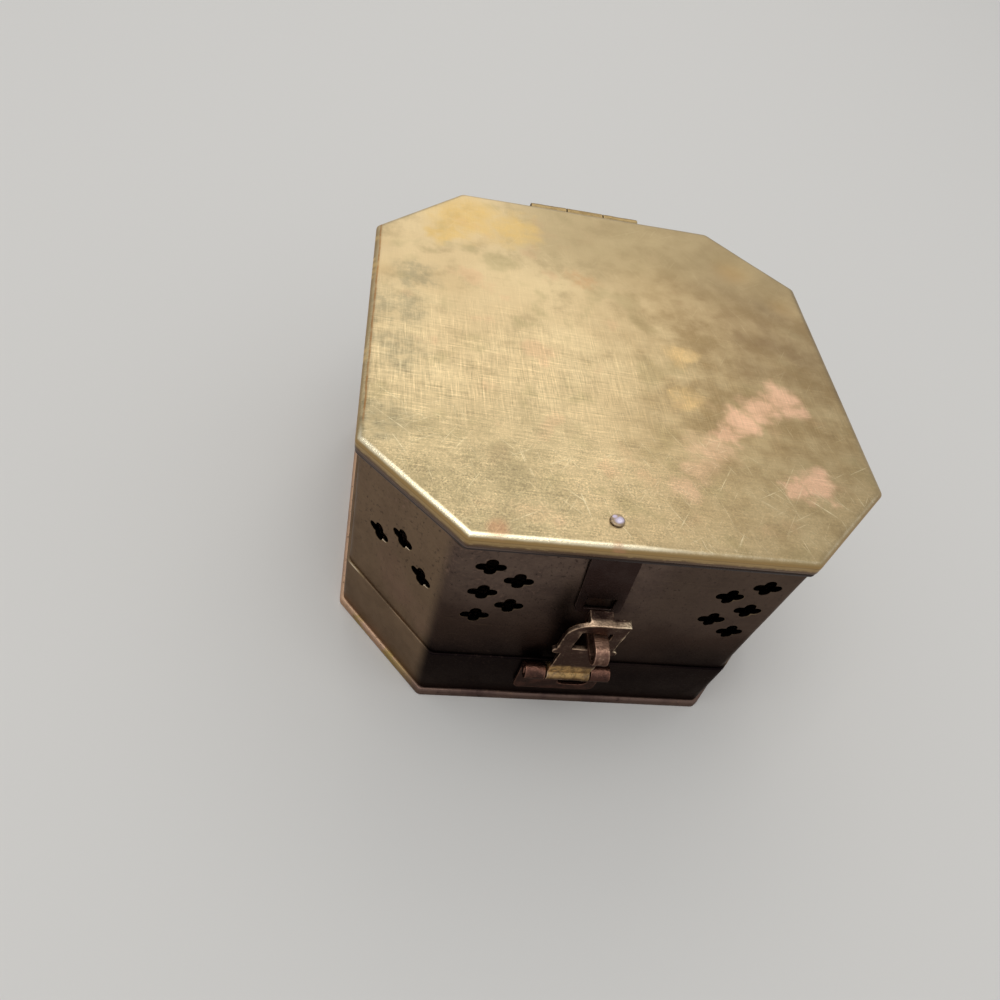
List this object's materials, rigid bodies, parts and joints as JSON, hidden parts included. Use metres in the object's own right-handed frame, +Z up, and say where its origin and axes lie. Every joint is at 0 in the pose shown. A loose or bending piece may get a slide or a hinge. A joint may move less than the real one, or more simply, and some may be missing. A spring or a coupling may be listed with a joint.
{
  "type": "incense box",
  "caption": "eight-sided sheet brass box with a hinged lid, pierced cross vents and a swinging front latch with a staple",
  "frame": {"origin": "middle of the underside, on the surface the box stands on", "axes": "+Z up, -Y is the latch side, +Y is the hinge side, +X is to the right of someone facing the latch"},
  "size_m": [0.0888, 0.0986, 0.0534],
  "materials": {
    "brass_lid": "worn satin polish with fine scratches and tarnish",
    "brass_edge": "bright, worn by handling",
    "brass_wall": "dark brown tarnish, satin",
    "brass_base": "coppery tarnish, satin",
    "brass_strap": "tarnished, pinkish where worn",
    "brass_latch": "dark tarnish with bright worn edges",
    "brass_rivet": "dull, worn"
  },
  "bodies": {
    "box": {"base_plate": "brass_base", "lower_band": "brass_wall", "body_wall": "brass_wall", "hinge_leaf_body": "brass_strap", "hinge_pin": "brass_rivet", "hinge_rivets": "brass_rivet", "latch_base": "brass_latch", "latch_pin": "brass_latch", "staple": "brass_strap"},
    "lid": {"lid_top": "brass_lid", "lid_rim": "brass_edge", "lid_skirt": "brass_edge", "lid_collar": "brass_wall", "hinge_leaf_lid": "brass_strap", "lid_tab": "brass_strap", "tab_rivet": "brass_rivet"},
    "hook": {"latch_hook": "brass_latch"}
  },
  "joints": [
    {"name": "lid_open", "type": "hinge", "parent": "box", "child": "lid", "pos_m": [0, 0.04575, 0.0502], "axis": [-1, 0, 0], "range_deg": [0, 110]},
    {"name": "hook_swing", "type": "hinge", "parent": "box", "child": "hook", "pos_m": [-0.0031, -0.04525, 0.0158], "axis": [1, 0, 0], "range_deg": [-4.5, 125]}
  ]
}
